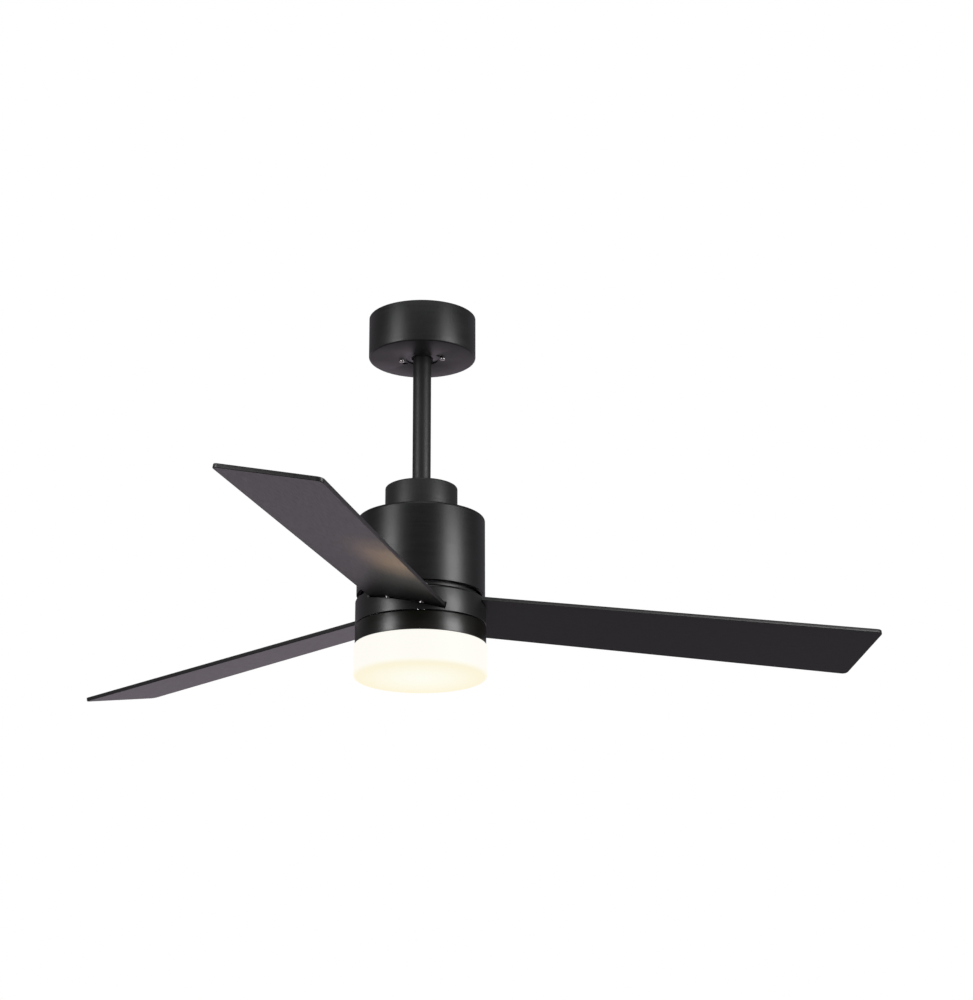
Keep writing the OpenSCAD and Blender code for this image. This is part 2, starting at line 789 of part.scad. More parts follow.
ceiling_bracket();
ball_seat();
seat_liner();
canopy();
canopy_screws();
receiver_case();
receiver_lid();
terminal_block();
receiver_leads();
ground_screw();
hanger_ball();
ball_pin();
ball_set_screw();
downrod();
lead_sleeve();
lead_plug();
coupler();
clevis_pin();
clevis_clip();
coupler_set_screws();
housing_screws();
motor_housing();
shaft_lock_nut();
motor_shaft();
stator_core();
stator_coils();
stator_leads();
top_bearing_inner();
low_bearing_inner();
light_pan();
pan_nuts();
light_leads();
led_driver();
tray_standoffs();
led_tray();
tray_screws();
led_board();
led_emitters();
coupling_cover();
cover_felt();
bell_upper();
bell_lower();
bell_screws();
rotor_magnets();
top_bearing_outer();
low_bearing_outer();
blade_carrier();
carrier_screws();
hub_ring();
ring_screws();
blade_arms();
blade_screws();
blade_1();
blade_2();
blade_3();
top_bearing_cage();
top_bearing_balls();
low_bearing_cage();
low_bearing_balls();
shade();
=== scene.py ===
import json
import math

import bmesh
import bpy
from mathutils import Matrix, Vector


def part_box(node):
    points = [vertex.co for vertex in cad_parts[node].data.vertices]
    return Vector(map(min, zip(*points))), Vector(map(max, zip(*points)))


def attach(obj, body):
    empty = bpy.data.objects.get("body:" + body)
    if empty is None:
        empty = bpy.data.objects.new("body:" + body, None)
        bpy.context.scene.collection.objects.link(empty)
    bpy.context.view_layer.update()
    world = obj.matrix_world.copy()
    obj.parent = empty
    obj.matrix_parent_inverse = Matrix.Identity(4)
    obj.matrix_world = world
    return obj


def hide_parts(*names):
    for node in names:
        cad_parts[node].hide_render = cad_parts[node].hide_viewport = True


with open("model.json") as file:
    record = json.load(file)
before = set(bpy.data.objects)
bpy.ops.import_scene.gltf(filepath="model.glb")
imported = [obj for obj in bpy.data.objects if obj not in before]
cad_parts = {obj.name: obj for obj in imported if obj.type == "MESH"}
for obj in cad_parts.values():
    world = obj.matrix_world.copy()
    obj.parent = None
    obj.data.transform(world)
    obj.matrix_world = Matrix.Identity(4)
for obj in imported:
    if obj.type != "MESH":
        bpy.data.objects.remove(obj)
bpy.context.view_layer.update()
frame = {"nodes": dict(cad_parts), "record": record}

# Driving dimensions that the frame's boxes can't give, in metres and degrees.
BLADE_ROOT_WIDTH = 0.110
BLADE_TIP_WIDTH = 0.136
BLADE_THICKNESS = 0.0055
BLADE_PITCH = 12
BLADE_DROOP = 1
FIRST_BLADE = 25
BLADE_INNER_END = 0.048
BLADE_TIP_ROUND = 0.008
BLADE_EDGE_ROUND = 0.0009
BLADE_SLOT_GAP = 0.001
WIDE_FACE_AREA = 0.01

CANOPY_SCREW_X = 0.029
KEYHOLE_TURN = 22
KEYHOLE_HEAD_R = 0.0044
KEYHOLE_SHANK_R = 0.0024
KEYHOLE_HALF_WIDTH = 0.00215

CEILING_SCREW_X = 0.04445
CEILING_SLOT_END = 0.004
CEILING_SLOT_R = 0.0026
THREADED_HOLE_R = 0.00205
GROUND_SCREW_AT = (-0.025, 0.010)
STRIP_OPENING_R = 0.014
SEAT_PLATE_HALF = 0.024
SEAT_HOLE = 0.01525
LEAD_NOTCH_HALF = 0.0136
BALL_LEVEL = -0.036

LUG_INNER = 0.068
LUG_STEP = 0.080
LUG_OUTER = 0.083
LUG_HALF_WIDTH = 0.007
LUG_SCREW_AT = 0.074
PAN_TAB_INNER = 0.083
PAN_TAB_HALF_TURN = 9
PAN_SCREW_AT = 0.075
CLEARANCE_HOLE_R = 0.0018

ROUND_STEPS = 144
CUT_MARGIN = 0.003


# ---------- places taken from the frame ----------

def top(node):
    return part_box(node)[1].z


def bottom(node):
    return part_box(node)[0].z


def radius(node):
    low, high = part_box(node)
    return max(high.x, high.y, -low.x, -low.y)


BLADE_LEVEL = top("hub_ring") - 0.0168
RING_TOP = bottom("motor_housing") - 0.008


# ---------- modelling helpers ----------

def start_piece():
    if bpy.context.object and bpy.context.object.mode != "OBJECT":
        bpy.ops.object.mode_set(mode="OBJECT")
    bpy.ops.object.select_all(action="DESELECT")


def in_edit(piece):
    start_piece()
    piece.select_set(True)
    bpy.context.view_layer.objects.active = piece
    bpy.ops.object.mode_set(mode="EDIT")
    return bmesh.from_edit_mesh(piece.data)


def out_of_edit():
    bpy.ops.object.mode_set(mode="OBJECT")


def pick_verts(piece, test):
    """Selects the vertices whose place passes the test, in edit mode."""
    bpy.ops.mesh.select_mode(type="VERT")
    bpy.ops.mesh.select_all(action="DESELECT")
    mesh = bmesh.from_edit_mesh(piece.data)
    for vert in mesh.verts:
        vert.select_set(bool(test(vert.co)))
    mesh.select_flush(True)
    bmesh.update_edit_mesh(piece.data)


def pick_edges(piece, test):
    bpy.ops.mesh.select_mode(type="EDGE")
    bpy.ops.mesh.select_all(action="DESELECT")
    mesh = bmesh.from_edit_mesh(piece.data)
    for edge in mesh.edges:
        if test(edge):
            edge.select_set(True)
    bmesh.update_edit_mesh(piece.data)


def apply_modifier(piece, kind, **settings):
    start_piece()
    piece.select_set(True)
    bpy.context.view_layer.objects.active = piece
    modifier = piece.modifiers.new(kind.title(), kind)
    for name, value in settings.items():
        setattr(modifier, name, value)
    bpy.ops.object.modifier_apply(modifier=modifier.name)


def smooth(piece, angle=35):
    start_piece()
    piece.select_set(True)
    bpy.context.view_layer.objects.active = piece
    bpy.ops.object.shade_smooth_by_angle(angle=math.radians(angle))


def flatten_wide_faces(piece, area):
    """Shades wide faces flat, so that their normals don't lean towards their rounded edges."""
    for face in piece.data.polygons:
        if face.area > area:
            face.use_smooth = False


def cut(piece, cutter):
    """Takes the cutter's shape out of the piece and removes the cutter."""
    apply_modifier(piece, "BOOLEAN", object=cutter, operation="DIFFERENCE", solver="EXACT")
    bpy.data.objects.remove(cutter)


def fuse(piece, other):
    """Adds the other shape to the piece as one solid."""
    apply_modifier(piece, "BOOLEAN", object=other, operation="UNION", solver="EXACT")
    bpy.data.objects.remove(other)


def drill(piece, x, y, low, high, r, sides=48):
    """Takes an upright round hole out of the piece."""
    start_piece()
    bpy.ops.mesh.primitive_cylinder_add(vertices=sides, radius=r, depth=high - low,
                                        location=(x, y, (low + high) / 2))
    bpy.ops.object.transform_apply()
    cut(piece, bpy.context.object)


def place(piece, matrix):
    """Puts a piece that was modelled at the origin where it belongs, with the place in its mesh."""
    piece.data.transform(matrix)


def turned_point(angle, distance):
    """The point on the XY plane at an angle from +X, in degrees, and a distance from the axis."""
    return Matrix.Rotation(math.radians(angle), 4, "Z") @ Vector((distance, 0, 0))


def joined(pieces, name):
    start_piece()
    for piece in pieces:
        piece.select_set(True)
    bpy.context.view_layer.objects.active = pieces[0]
    if len(pieces) > 1:
        bpy.ops.object.join()
    pieces[0].name = name
    return pieces[0]


def copied(piece, matrix):
    twin = piece.copy()
    twin.data = piece.data.copy()
    bpy.context.collection.objects.link(twin)
    twin.data.transform(matrix)
    return twin


def traced(name, outline, closed=True):
    """Draws an outline of (x, z) points with edges, and leaves the piece in edit mode."""
    start_piece()
    first = outline[0]
    bpy.ops.mesh.primitive_circle_add(vertices=3, radius=0.001, location=(0, 0, 0))
    piece = bpy.context.object
    piece.name = name
    bpy.ops.object.mode_set(mode="EDIT")
    bpy.ops.mesh.select_all(action="SELECT")
    bpy.ops.mesh.merge(type="CENTER")
    bpy.ops.transform.translate(value=(first[0], 0, first[1]))
    for before, after in zip(outline, outline[1:]):
        step = (after[0] - before[0], 0, after[1] - before[1])
        bpy.ops.mesh.extrude_vertices_move(TRANSFORM_OT_translate={"value": step})
    if closed:
        ends = [Vector((p[0], 0, p[1])) for p in (outline[0], outline[-1])]
        pick_verts(piece, lambda co: any((co - end).length < 1e-6 for end in ends))
        bpy.ops.mesh.edge_face_add()
    return piece


def barred(name, outline, low, high, rounding=0.0004):
    """Extrudes an outline of (x, z) points along Y, from low to high, and softens its edges."""
    piece = traced(name, outline)
    bpy.ops.mesh.select_all(action="SELECT")
    bpy.ops.mesh.edge_face_add()
    bpy.ops.mesh.select_all(action="SELECT")
    bpy.ops.transform.translate(value=(0, low, 0))
    bpy.ops.mesh.extrude_region_move(TRANSFORM_OT_translate={"value": (0, high - low, 0)})
    bpy.ops.mesh.select_all(action="SELECT")
    bpy.ops.mesh.normals_make_consistent(inside=False)
    if rounding:
        bpy.ops.mesh.bevel(offset=rounding, segments=2, profile=0.5)
    out_of_edit()
    return piece


def turned(name, outline, steps=ROUND_STEPS, closed=True):
    """Turns an outline round the Z axis. A point is (radius, height, rounding of that corner)."""
    piece = traced(name, outline, closed)
    for corner in outline:
        if len(corner) > 2 and corner[2] > 0:
            spot = Vector((corner[0], 0, corner[1]))
            pick_verts(piece, lambda co: (co - spot).length < 1e-6)
            segments = max(3, min(12, int(corner[2] * 1600)))
            bpy.ops.mesh.bevel(affect="VERTICES", offset=corner[2], segments=segments, profile=0.5)
    bpy.ops.mesh.select_all(action="SELECT")
    bpy.ops.mesh.spin(steps=steps, angle=math.tau, center=(0, 0, 0), axis=(0, 0, 1))
    bpy.ops.mesh.select_all(action="SELECT")
    bpy.ops.mesh.remove_doubles(threshold=1e-6)
    bpy.ops.mesh.normals_make_consistent(inside=False)
    out_of_edit()
    smooth(piece)
    return piece


def keep_between(piece, start, end):
    """Keeps the part of a turned piece between two angles round Z, less than half a turn apart."""
    in_edit(piece)
    for turn, outer in ((end, True), (start, False)):
        across = Matrix.Rotation(math.radians(turn), 3, "Z") @ Vector((0, 1, 0))
        bpy.ops.mesh.select_all(action="SELECT")
        bpy.ops.mesh.bisect(plane_co=(0, 0, 0), plane_no=across, use_fill=True,
                            clear_outer=outer, clear_inner=not outer)
    out_of_edit()


def finish_piece(piece, body, material, slot, *nodes):
    piece.data.materials.clear()
    piece.data.materials.append(material)
    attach(piece, body)
    if nodes:
        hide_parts(*nodes)
    return piece


# ---------- material helpers ----------

def new_material(name, colour, roughness, metallic=0.0, **inputs):
    material = bpy.data.materials.new(name)
    material.use_nodes = True
    shader = shader_of(material)
    shader.inputs["Base Color"].default_value = (*colour, 1)
    shader.inputs["Roughness"].default_value = roughness
    shader.inputs["Metallic"].default_value = metallic
    for label, value in inputs.items():
        shader.inputs[label.replace("_", " ")].default_value = value
    return material


def node_of(material, kind, **values):
    node = material.node_tree.nodes.new(kind)
    for name, value in values.items():
        if name in node.inputs:
            node.inputs[name].default_value = value
        else:
            setattr(node, name, value)
    return node


def link(material, source, target):
    material.node_tree.links.new(source, target)


def shader_of(material):
    return material.node_tree.nodes["Principled BSDF"]


def pattern(material, kind="ShaderNodeTexNoise", stretch=(1, 1, 1), coords="Object", **values):
    """A texture in the piece's own coordinates, stretched by a Mapping node."""
    place_node = node_of(material, "ShaderNodeTexCoord")
    mapping = node_of(material, "ShaderNodeMapping")
    mapping.inputs["Scale"].default_value = stretch
    texture = node_of(material, kind, **values)
    link(material, place_node.outputs[coords], mapping.inputs["Vector"])
    link(material, mapping.outputs["Vector"], texture.inputs["Vector"])
    return texture


def ramp(material, source, stops):
    node = node_of(material, "ShaderNodeValToRGB")
    elements = node.color_ramp.elements
    while len(elements) < len(stops):
        elements.new(0.5)
    for element, (position, colour) in zip(elements, stops):
        element.position = position
        element.color = (*colour, 1) if len(colour) == 3 else colour
    link(material, source, node.inputs["Fac"])
    return node


def vary_colour(material, texture, dark, light, low=0.3, high=0.7):
    shades = ramp(material, texture.outputs["Fac"], [(low, dark), (high, light)])
    link(material, shades.outputs["Color"], shader_of(material).inputs["Base Color"])


def vary_roughness(material, texture, low, high):
    spread = node_of(material, "ShaderNodeMapRange")
    spread.inputs["From Min"].default_value = 0.3
    spread.inputs["From Max"].default_value = 0.7
    spread.inputs["To Min"].default_value = low
    spread.inputs["To Max"].default_value = high
    link(material, texture.outputs["Fac"], spread.inputs["Value"])
    link(material, spread.outputs["Result"], shader_of(material).inputs["Roughness"])


def add_bump(material, texture, strength, distance):
    bump = node_of(material, "ShaderNodeBump", Strength=strength, Distance=distance)
    link(material, texture.outputs["Fac"], bump.inputs["Height"])
    link(material, bump.outputs["Normal"], shader_of(material).inputs["Normal"])


# ---------- finishes ----------

def coated(name, dark, light, rough_low, rough_high, grain=900, strength=0.1):
    """Paint over turned metal: faint lines run round the part under a fine grain."""
    material = new_material(name, light, rough_low)
    lines = pattern(material, stretch=(1, 1, 45), Scale=16, Detail=4)
    vary_colour(material, lines, dark, light)
    vary_roughness(material, lines, rough_low, rough_high)
    speckle = pattern(material, Scale=grain, Detail=2)
    add_bump(material, speckle, strength, 0.0002)
    return material


def plated_steel(name, colour, rough_low=0.22, rough_high=0.38, lines=(4, 4, 60)):
    material = new_material(name, colour, rough_low, metallic=1.0)
    dark = tuple(0.82 * c for c in colour)
    cloud = pattern(material, Scale=60, Detail=4)
    vary_colour(material, cloud, dark, colour)
    drawn = pattern(material, stretch=lines, Scale=90, Detail=3)
    vary_roughness(material, drawn, rough_low, rough_high)
    add_bump(material, drawn, 0.08, 0.0002)
    return material


def cast_alloy(name, colour):
    material = new_material(name, colour, 0.45, metallic=1.0)
    grain = pattern(material, Scale=420, Detail=4)
    vary_colour(material, grain, tuple(0.75 * c for c in colour), colour)
    vary_roughness(material, grain, 0.38, 0.55)
    add_bump(material, grain, 0.35, 0.0004)
    return material


def moulded_plastic(name, colour, roughness=0.45):
    material = new_material(name, colour, roughness)
    fine = pattern(material, Scale=1200, Detail=2)
    cloud = pattern(material, Scale=25, Detail=2)
    vary_colour(material, cloud, tuple(0.92 * c for c in colour), colour)
    vary_roughness(material, fine, roughness - 0.06, roughness + 0.08)
    add_bump(material, fine, 0.15, 0.0002)
    return material


def laminated_steel():
    material = new_material("stacked_laminations", (0.25, 0.25, 0.27), 0.4, metallic=1.0)
    sheets = pattern(material, "ShaderNodeTexWave", Scale=320)
    sheets.bands_direction = "Z"
    vary_colour(material, sheets, (0.12, 0.12, 0.13), (0.35, 0.35, 0.37), 0.2, 0.8)
    add_bump(material, sheets, 0.5, 0.0004)
    return material


def enamelled_copper():
    material = new_material("enamelled_copper", (0.72, 0.3, 0.12), 0.3, metallic=1.0)
    turns_and_groove_shade = pattern(material, "ShaderNodeTexWave", Scale=260)
    turns_and_groove_shade.bands_direction = "Z"
    # The darker bands between the turns are painted shade in the grooves between the round wires.
    vary_colour(material, turns_and_groove_shade, (0.35, 0.11, 0.04), (0.8, 0.36, 0.16), 0.15, 0.75)
    add_bump(material, turns_and_groove_shade, 0.8, 0.0006)
    return material


def pressed_felt():
    material = new_material("pressed_felt", (0.02, 0.02, 0.02), 0.95)
    fibres = pattern(material, Scale=700, Detail=6)
    vary_colour(material, fibres, (0.008, 0.008, 0.008), (0.05, 0.05, 0.05))
    add_bump(material, fibres, 0.9, 0.0008)
    return material


def blade_laminate():
    """Charcoal laminate with a faint grain that runs along each blade."""
    material = new_material("blade_laminate", (0.03, 0.028, 0.03), 0.42)
    grain = pattern(material, stretch=(6, 90, 1), coords="UV", Scale=9, Detail=6, Distortion=0.4)
    vary_colour(material, grain, (0.011, 0.0106, 0.0112), (0.016, 0.0154, 0.0162))
    vary_roughness(material, grain, 0.36, 0.46)
    add_bump(material, grain, 0.05, 0.0003)
    return material


def opal_glow():
    """Opal diffuser, lit from inside: the rim of its flat bottom is warmer than the rest."""
    material = new_material("opal_diffuser", (0.05, 0.049, 0.045), 0.6, Specular_IOR_Level=0.25)
    shader = shader_of(material)
    spot = node_of(material, "ShaderNodeTexCoord")
    parts = node_of(material, "ShaderNodeSeparateXYZ")
    link(material, spot.outputs["Object"], parts.inputs["Vector"])
    flat = node_of(material, "ShaderNodeCombineXYZ")
    link(material, parts.outputs["X"], flat.inputs["X"])
    link(material, parts.outputs["Y"], flat.inputs["Y"])
    reach = node_of(material, "ShaderNodeVectorMath", operation="LENGTH")
    link(material, flat.outputs["Vector"], reach.inputs[0])
    across = node_of(material, "ShaderNodeMapRange")
    across.inputs["From Max"].default_value = radius("shade")
    link(material, reach.outputs["Value"], across.inputs["Value"])
    bottom_glow = ramp(material, across.outputs["Result"], [
        (0.0, (0.955, 0.955, 0.85)),
        (0.45, (0.955, 0.935, 0.79)),
        (0.9, (0.945, 0.885, 0.68)),
        (1.0, (0.945, 0.89, 0.7)),
    ])
    up = node_of(material, "ShaderNodeMapRange")
    up.inputs["From Min"].default_value = bottom("shade")
    up.inputs["From Max"].default_value = bottom("shade") + 0.006
    link(material, parts.outputs["Z"], up.inputs["Value"])
    side_glow = ramp(material, up.outputs["Result"], [
        (0.0, (0.0, 0.0, 0.0)),
        (1.0, (1.0, 1.0, 1.0)),
    ])
    mix = node_of(material, "ShaderNodeMix", data_type="RGBA")
    link(material, side_glow.outputs["Color"], mix.inputs["Factor"])
    link(material, bottom_glow.outputs["Color"], mix.inputs[6])
    mix.inputs[7].default_value = (0.945, 0.93, 0.865, 1)
    link(material, mix.outputs[2], shader.inputs["Emission Color"])
    shader.inputs["Emission Strength"].default_value = 1.0
    return material


def emitter_glow():
    material = new_material("emitter_phosphor", (0.95, 0.8, 0.35), 0.4)
    dots = pattern(material, Scale=900, Detail=2)
    vary_colour(material, dots, (0.8, 0.62, 0.2), (0.98, 0.85, 0.4))
    shader = shader_of(material)
    shader.inputs["Emission Color"].default_value = (1.0, 0.9, 0.7, 1)
    shader.inputs["Emission Strength"].default_value = 3.0
    return material


BLACK_DARK = (0.0075, 0.0078, 0.0078)
BLACK_LIGHT = (0.0105, 0.0108, 0.0108)

FINISHES = {
    "black_metal": coated("satin_black", BLACK_DARK, BLACK_LIGHT, 0.36, 0.46),
    # Gloss black paint with a yellowish tint that is painted light: the warm glow of the lit shade
    # just below.
    "black_gloss_metal": coated("gloss_black_painted_glow", (0.003, 0.003, 0.0014), (0.0044, 0.0043, 0.0022),
                                0.29, 0.34, 1600, 0.03),
    "white_metal": coated("white_paint", (0.8, 0.8, 0.78), (0.88, 0.88, 0.86), 0.3, 0.45),
    # A dark grey plated steel.
    "zinc_steel": plated_steel("dark_plated_steel", (0.16, 0.16, 0.17), 0.34, 0.48),
    "screw_steel": plated_steel("bright_zinc", (0.78, 0.77, 0.75), 0.16, 0.28),
    "bright_steel": plated_steel("ground_steel", (0.75, 0.75, 0.76), 0.15, 0.25, (2, 2, 140)),
    "lamination": laminated_steel(),
    "magnet": cast_alloy("sintered_magnet", (0.13, 0.13, 0.14)),
    "cast_metal": cast_alloy("die_cast", (0.62, 0.62, 0.63)),
    "copper": enamelled_copper(),
    "brass": plated_steel("pressed_brass", (0.8, 0.58, 0.25)),
    "nylon": moulded_plastic("natural_nylon", (0.82, 0.8, 0.72)),
    "black_plastic": moulded_plastic("black_nylon", (0.02, 0.02, 0.02)),
    "white_plastic": moulded_plastic("white_plastic", (0.82, 0.82, 0.8)),
    "wire_cover": moulded_plastic("wire_insulation", (0.45, 0.45, 0.43), 0.5),
    "felt": pressed_felt(),
    "board_white": moulded_plastic("solder_mask", (0.86, 0.86, 0.84), 0.3),
    "emitter": emitter_glow(),
    "blade_board": blade_laminate(),
    "opal": opal_glow(),
}


SATIN_BAND = coated("satin_band", BLACK_DARK, BLACK_LIGHT, 0.33, 0.39, 1600, 0.03)
MOTOR_BLACK = coated("motor_black", (0.0032, 0.0034, 0.0035), (0.005, 0.0052, 0.0053), 0.34, 0.43)
ROD_BLACK = coated("rod_black", BLACK_DARK, BLACK_LIGHT, 0.46, 0.56)


MOULDED = ("receiver_case", "receiver_lid", "terminal_block", "lead_plug")


def finish_cad_nodes():
    """Gives every node of the frame its finish."""
    for part in frame["record"]["subparts"]:
        mesh = frame["nodes"][part["node"]].data
        mesh.materials.clear()
        mesh.materials.append(FINISHES[part["material_slot"]])
    for name in MOULDED:
        soften = frame["nodes"][name].modifiers.new("soft_edges", "BEVEL")
        soften.width = 0.0005
        soften.segments = 2
        soften.limit_method = "ANGLE"
        soften.angle_limit = math.radians(50)


# ---------- pieces ----------

def make_canopy():
    r = radius("canopy")
    high = top("canopy")
    low = bottom("canopy")
    wall = 0.0012
    hole = 0.023
    canopy = turned("canopy_shell", [
        (hole, low, 0.0003), (r, low, 0.0026), (r, high, 0.0006), (r - wall, high, 0.0003),
        (r - wall, low + wall, 0.0014), (hole, low + wall, 0.0003),
    ])
    for side in (0, 180):
        for turn, hole_r in ((0, KEYHOLE_SHANK_R), (-KEYHOLE_TURN, KEYHOLE_HEAD_R)):
            at = turned_point(side + turn, CANOPY_SCREW_X)
            drill(canopy, at.x, at.y, low - CUT_MARGIN, low + CUT_MARGIN, hole_r, 32)
        inner = CANOPY_SCREW_X - KEYHOLE_HALF_WIDTH
        outer = CANOPY_SCREW_X + KEYHOLE_HALF_WIDTH
        slot = turned("slot_cutter", [
            (inner, low - CUT_MARGIN), (outer, low - CUT_MARGIN),
            (outer, low + 0.004), (inner, low + 0.004),
        ], steps=180)
        keep_between(slot, side - KEYHOLE_TURN, side)
        cut(canopy, slot)
    smooth(canopy)
    return finish_piece(canopy, "ceiling_mount", FINISHES["black_metal"], "black_metal", "canopy")


def make_canopy_screws():
    """Two pan heads with a cross recess, each turned as it happened to stop."""
    low = bottom("canopy")
    head_r, head_h, shank_r, shank_l = 0.0038, 0.0026, 0.002, 0.009
    screw = turned("canopy_screw", [
        (0, -head_h), (head_r, -head_h, 0.0016), (head_r, 0, 0.0002), (shank_r, 0),
        (shank_r, shank_l - 0.001, 0.0002), (0.001, shank_l), (0, shank_l),
    ], steps=48, closed=False)
    for turn in (0, 90):
        recess = box_piece("recess_cutter", (-0.0021, -0.00045, -head_h - 0.001),
                           (0.0021, 0.00045, -head_h + 0.0014))
        place(recess, Matrix.Rotation(math.radians(turn), 4, "Z"))
        cut(screw, recess)
    smooth(screw)
    screws = [copied(screw, Matrix.Translation((x, 0, low)) @ Matrix.Rotation(turn, 4, "Z"))
              for x, turn in ((-CANOPY_SCREW_X, 0.4), (CANOPY_SCREW_X, 1.1))]
    bpy.data.objects.remove(screw)
    both = joined(screws, "canopy_screw_pair")
    return finish_piece(both, "ceiling_mount", FINISHES["screw_steel"], "screw_steel",
                        "canopy_screws")


def make_bracket():
    """Folded bracket: a slotted top strip, two legs, and a seat plate whose hole is bare steel."""
    low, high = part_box("ceiling_bracket")
    sheet, leg, half = 0.0025, 0.036, 0.017
    seat = low.z
    bracket = barred("folded_bracket", [
        (-high.x, 0), (high.x, 0), (high.x, -sheet), (leg + sheet, -sheet), (leg + sheet, seat),
        (-leg - sheet, seat), (-leg - sheet, -sheet), (-high.x, -sheet),
    ], -half, half, 0.0006)
    inside = barred("inside_cutter", [
        (-leg, -sheet), (leg, -sheet), (leg, seat + sheet), (-leg, seat + sheet),
    ], -half - 0.01, half + 0.01, 0)
    cut(bracket, inside)
    plate = barred("seat_plate", [
        (-leg - sheet + 0.0001, seat + 0.0001), (leg + sheet - 0.0001, seat + 0.0001),
        (leg + sheet - 0.0001, seat + sheet), (-leg - sheet + 0.0001, seat + sheet),
    ], -SEAT_PLATE_HALF, SEAT_PLATE_HALF)
    fuse(bracket, plate)
    tab = barred("ball_tab", [
        (-0.002, seat + 0.001), (0.002, seat + 0.001),
        (0.002, BALL_LEVEL - 0.008), (-0.002, BALL_LEVEL - 0.008),
    ], -0.0235, -0.0205, 0.0003)
    fuse(bracket, tab)
    through_strip = (-0.006, 0.004)
    through_seat = (seat - CUT_MARGIN, seat + 0.006)
    drill(bracket, 0, 0, *through_strip, STRIP_OPENING_R, 64)
    for side in (-1, 1):
        drill(bracket, side * CANOPY_SCREW_X, 0, *through_seat, THREADED_HOLE_R, 24)
        for end in (-CEILING_SLOT_END, CEILING_SLOT_END):
            drill(bracket, side * CEILING_SCREW_X + end, 0, *through_strip, CEILING_SLOT_R, 32)
        cut(bracket, box_piece(
            "slot_cutter",
            (side * CEILING_SCREW_X - CEILING_SLOT_END, -0.00255, through_strip[0]),
            (side * CEILING_SCREW_X + CEILING_SLOT_END, 0.00255, through_strip[1])))
    drill(bracket, *GROUND_SCREW_AT, *through_strip, THREADED_HOLE_R, 24)
    drill(bracket, 0, 0, *through_seat, SEAT_HOLE, 96)
    cut(bracket, box_piece("slot_cutter", (-LEAD_NOTCH_HALF, 0.001, through_seat[0]),
                           (LEAD_NOTCH_HALF, 0.03, through_seat[1])))
    smooth(bracket)
    finish_piece(bracket, "ceiling_mount", FINISHES["zinc_steel"], "zinc_steel", "ceiling_bracket")
    bracket.data.materials.append(FINISHES["bright_steel"])
    for face in bracket.data.polygons:
        if face.center.z < seat + sheet and abs(face.center.xy.length - SEAT_HOLE) < 0.0002:
            face.material_index = 1
    return bracket


def make_downrod():
    low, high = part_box("downrod")
    r = radius("downrod")
    bore = r - 0.002
    rod = turned("downrod_tube", [
        (bore, low.z, 0.0003), (r, low.z, 0.0004), (r, high.z, 0.0004), (bore, high.z, 0.0003),
    ], steps=96)
    return finish_piece(rod, "hanging_frame", ROD_BLACK, "black_metal", "downrod")


def make_coupling_cover():
    r = radius("coupling_cover")
    high = top("coupling_cover")
    low = bottom("coupling_cover")
    wall = 0.0015
    hole = radius("downrod") + 0.0009
    cover = turned("coupling_cup", [
        (hole, high, 0.0005), (r, high, 0.0025), (r, low, 0.0005), (r - wall, low, 0.0003),
        (r - wall, high - wall, 0.001), (hole, high - wall, 0.0003),
    ])
    return finish_piece(cover, "cover", ROD_BLACK, "black_metal", "coupling_cover")


def make_motor_housing():
    r = radius("motor_housing")
    high = top("motor_housing")
    low = bottom("motor_housing")
    wall = 0.0015
    hole = 0.0088
    housing = turned("motor_shell", [
        (hole, high, 0.0003), (r, high, 0.004), (r, low, 0.0007), (r - 0.005, low, 0.0005),
        (r - 0.005, low + wall, 0.0004), (r - wall, low + wall, 0.0003),
        (r - wall, high - wall, 0.0025), (hole, high - wall, 0.0003),
    ])
    return finish_piece(housing, "hanging_frame", MOTOR_BLACK, "black_metal", "motor_housing")


def blade_place(index):
    """The pitched and drooping plane of one blade, with the blade along its own X."""
    turn = Matrix.Rotation(math.radians(FIRST_BLADE + 120 * index), 4, "Z")
    droop = Matrix.Rotation(math.radians(BLADE_DROOP), 4, "Y")
    pitch = Matrix.Rotation(math.radians(-BLADE_PITCH), 4, "X")
    return turn @ Matrix.Translation((0, 0, BLADE_LEVEL)) @ droop @ pitch


def box_piece(name, low, high):
    """A cube primitive between two corners, with its place in its mesh."""
    start_piece()
    low, high = Vector(low), Vector(high)
    bpy.ops.mesh.primitive_cube_add(size=1, location=(low + high) / 2, scale=high - low)
    bpy.ops.object.transform_apply()
    bpy.context.object.name = name
    return bpy.context.object


def make_hub_ring():
    r = radius("hub_ring")
    low = bottom("hub_ring")
    wall = 0.00185
    inner = r - wall
    ring = turned("hub_band", [
        (inner, low, 0.0003), (r, low, 0.0005), (r, RING_TOP, 0.0025), (inner, RING_TOP, 0.0004),
    ])
    half = BLADE_ROOT_WIDTH / 2 + BLADE_SLOT_GAP
    for index in range(3):
        lug = barred("ring_lug", [
            (LUG_INNER, RING_TOP - 0.002), (LUG_OUTER, RING_TOP - 0.002),
            (LUG_OUTER, RING_TOP - 0.016), (inner + 0.0003, RING_TOP - 0.016),
            (inner + 0.0003, RING_TOP - 0.0015), (inner - 0.0015, RING_TOP), (LUG_STEP, RING_TOP),
            (LUG_STEP, bottom("blade_carrier")), (LUG_INNER, bottom("blade_carrier")),
        ], -LUG_HALF_WIDTH, LUG_HALF_WIDTH)
        drill(lug, LUG_SCREW_AT, 0, RING_TOP - 0.006, RING_TOP + 0.008, CLEARANCE_HOLE_R, 24)
        place(lug, Matrix.Rotation(math.radians(FIRST_BLADE + 60 + 120 * index), 4, "Z"))
        fuse(ring, lug)
        slot = box_piece("slot_cutter", (0.07, -half, -BLADE_THICKNESS / 2 - 0.003),
                         (0.1, half, BLADE_THICKNESS / 2 + 0.0012))
        place(slot, blade_place(index))
        cut(ring, slot)
    smooth(ring)
    return finish_piece(ring, "rotor", SATIN_BAND, "black_metal", "hub_ring")


